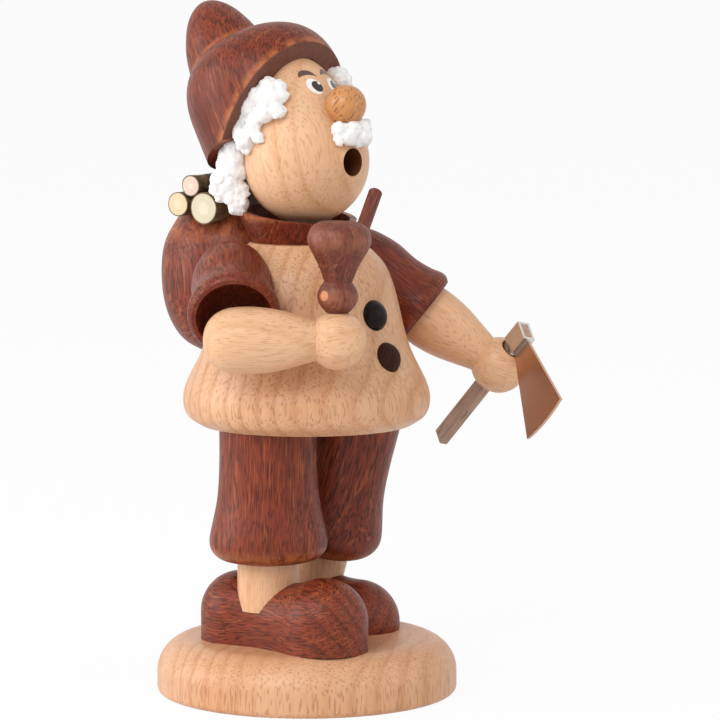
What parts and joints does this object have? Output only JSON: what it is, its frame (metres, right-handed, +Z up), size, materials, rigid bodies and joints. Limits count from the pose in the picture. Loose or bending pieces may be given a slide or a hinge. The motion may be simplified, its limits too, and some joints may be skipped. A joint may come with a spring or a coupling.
{
  "type": "incense smoker figure",
  "caption": "Turned wooden woodsman that lifts off a waist disc to take an incense cone; smoke leaves by the open mouth. Carries a basket of logs, a pipe and an axe.",
  "frame": {"origin": "centre of the round foot's underside, on the surface the figure stands on", "axes": "+Z up, the figure faces -Y, its left hand with the axe is towards +X"},
  "size_m": [0.0903, 0.0899, 0.1604],
  "materials": {
    "natural_beech": "clear satin lacquer over pale beech with short dark flecks",
    "stained_beech": "reddish brown stain under satin lacquer, rubbed lighter at edges",
    "pipe_wood": "darker purplish brown stain under satin lacquer",
    "nose_wood": "honey coloured wood under satin lacquer",
    "branch": "bark left on, sawn pale ends",
    "dark_button": "near black stain, satin",
    "brown_button": "dark brown stain, satin",
    "handle_wood": "grey brown wood, plain",
    "plain_dowel": "raw dowel, glued in, not seen",
    "axe_steel": "satin sheet steel",
    "tin": "pressed tin plate and its nail",
    "fleece": "white curly fleece"
  },
  "bodies": {
    "stand": {"base": "natural_beech", "shoe_dowels": "plain_dowel", "shoe_right": "stained_beech", "shoe_left": "stained_beech", "ankle_right": "natural_beech", "ankle_left": "natural_beech", "trouser_right": "stained_beech", "trouser_left": "stained_beech", "leg_dowels": "plain_dowel", "waist_disc": "natural_beech", "incense_plate": "tin", "plate_nail": "tin"},
    "figure": {"coat": "natural_beech", "head": "natural_beech", "forearm_right": "natural_beech", "forearm_left": "natural_beech", "hand_right": "natural_beech", "hand_left": "natural_beech", "collar": "stained_beech", "hat_cap": "stained_beech", "hat_peak": "stained_beech", "sleeve_right": "stained_beech", "sleeve_left": "stained_beech", "basket": "stained_beech", "pipe_bowl": "pipe_wood", "pipe_stem": "pipe_wood", "nose": "nose_wood", "log_upper": "branch", "log_rear": "branch", "log_front": "branch", "button_upper": "dark_button", "button_lower": "brown_button", "arm_dowels": "plain_dowel", "basket_dowel": "plain_dowel", "hair_right": "fleece", "hair_nape": "fleece", "hair_left": "fleece", "hair_nape_left": "fleece", "moustache": "fleece"},
    "axe": {"axe_handle": "handle_wood", "axe_head": "axe_steel"}
  },
  "joints": [
    {"name": "figure_lift", "type": "slide", "parent": "stand", "child": "figure", "axis": [0, 0, 1], "range_m": [0, 0.05]},
    {"name": "axe_slide", "type": "slide", "parent": "figure", "child": "axe", "axis": [-0.052, -0.7131, 0.6991], "range_m": [0, 0.036]}
  ]
}
